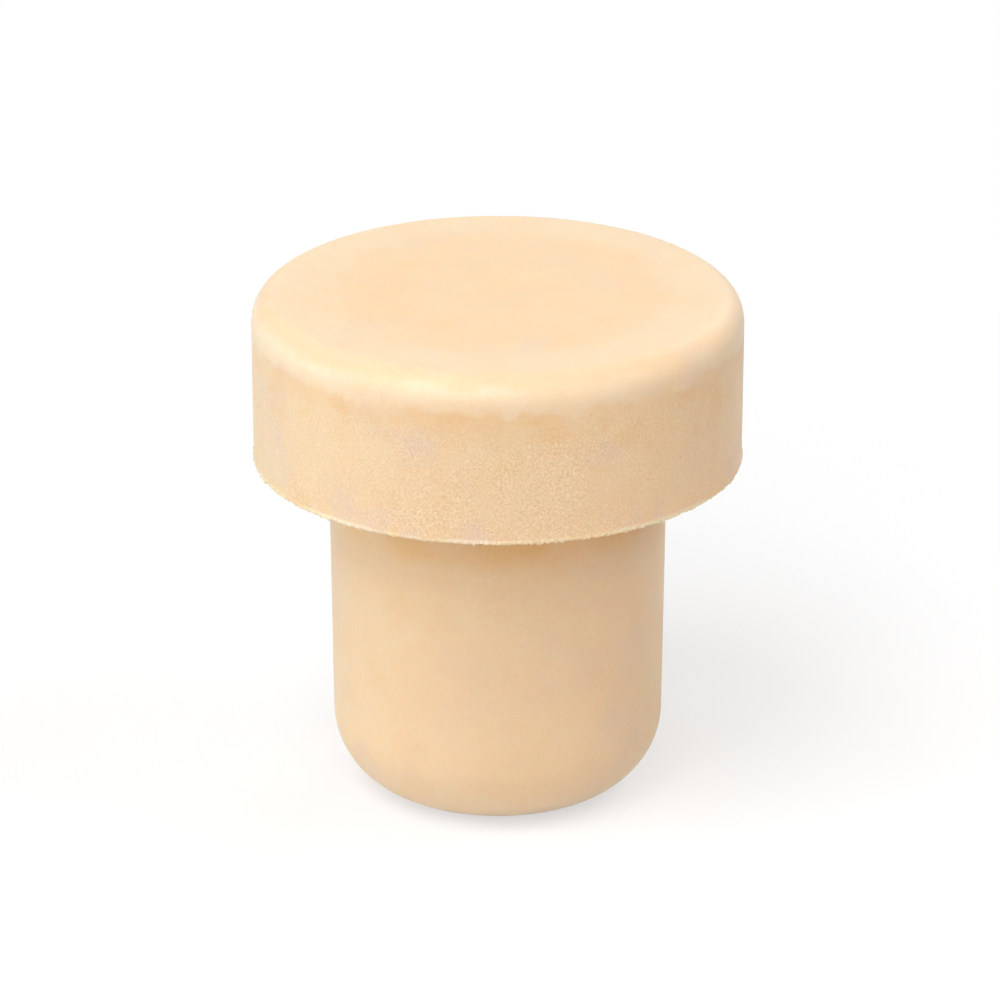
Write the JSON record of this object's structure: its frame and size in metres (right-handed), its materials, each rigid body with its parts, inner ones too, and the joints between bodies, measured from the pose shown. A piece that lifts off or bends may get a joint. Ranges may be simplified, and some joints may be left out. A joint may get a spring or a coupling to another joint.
{
  "type": "cork stopper",
  "caption": "T-shaped cork stopper for a bottle: a broad round head with a soft shoulder on a plain tapered shank with a well rounded tip.",
  "frame": {"origin": "centre of the flat at the shank's tip, on the stopper's axis, where it stands", "axes": "+Z along the stopper's axis, from the shank's tip to the head's flat top; X and Y are equal, because the stopper is round"},
  "size_m": [0.0284, 0.0284, 0.0304],
  "materials": {
    "cork": "matte"
  },
  "bodies": {
    "root": {"stopper": "cork"}
  },
  "joints": []
}
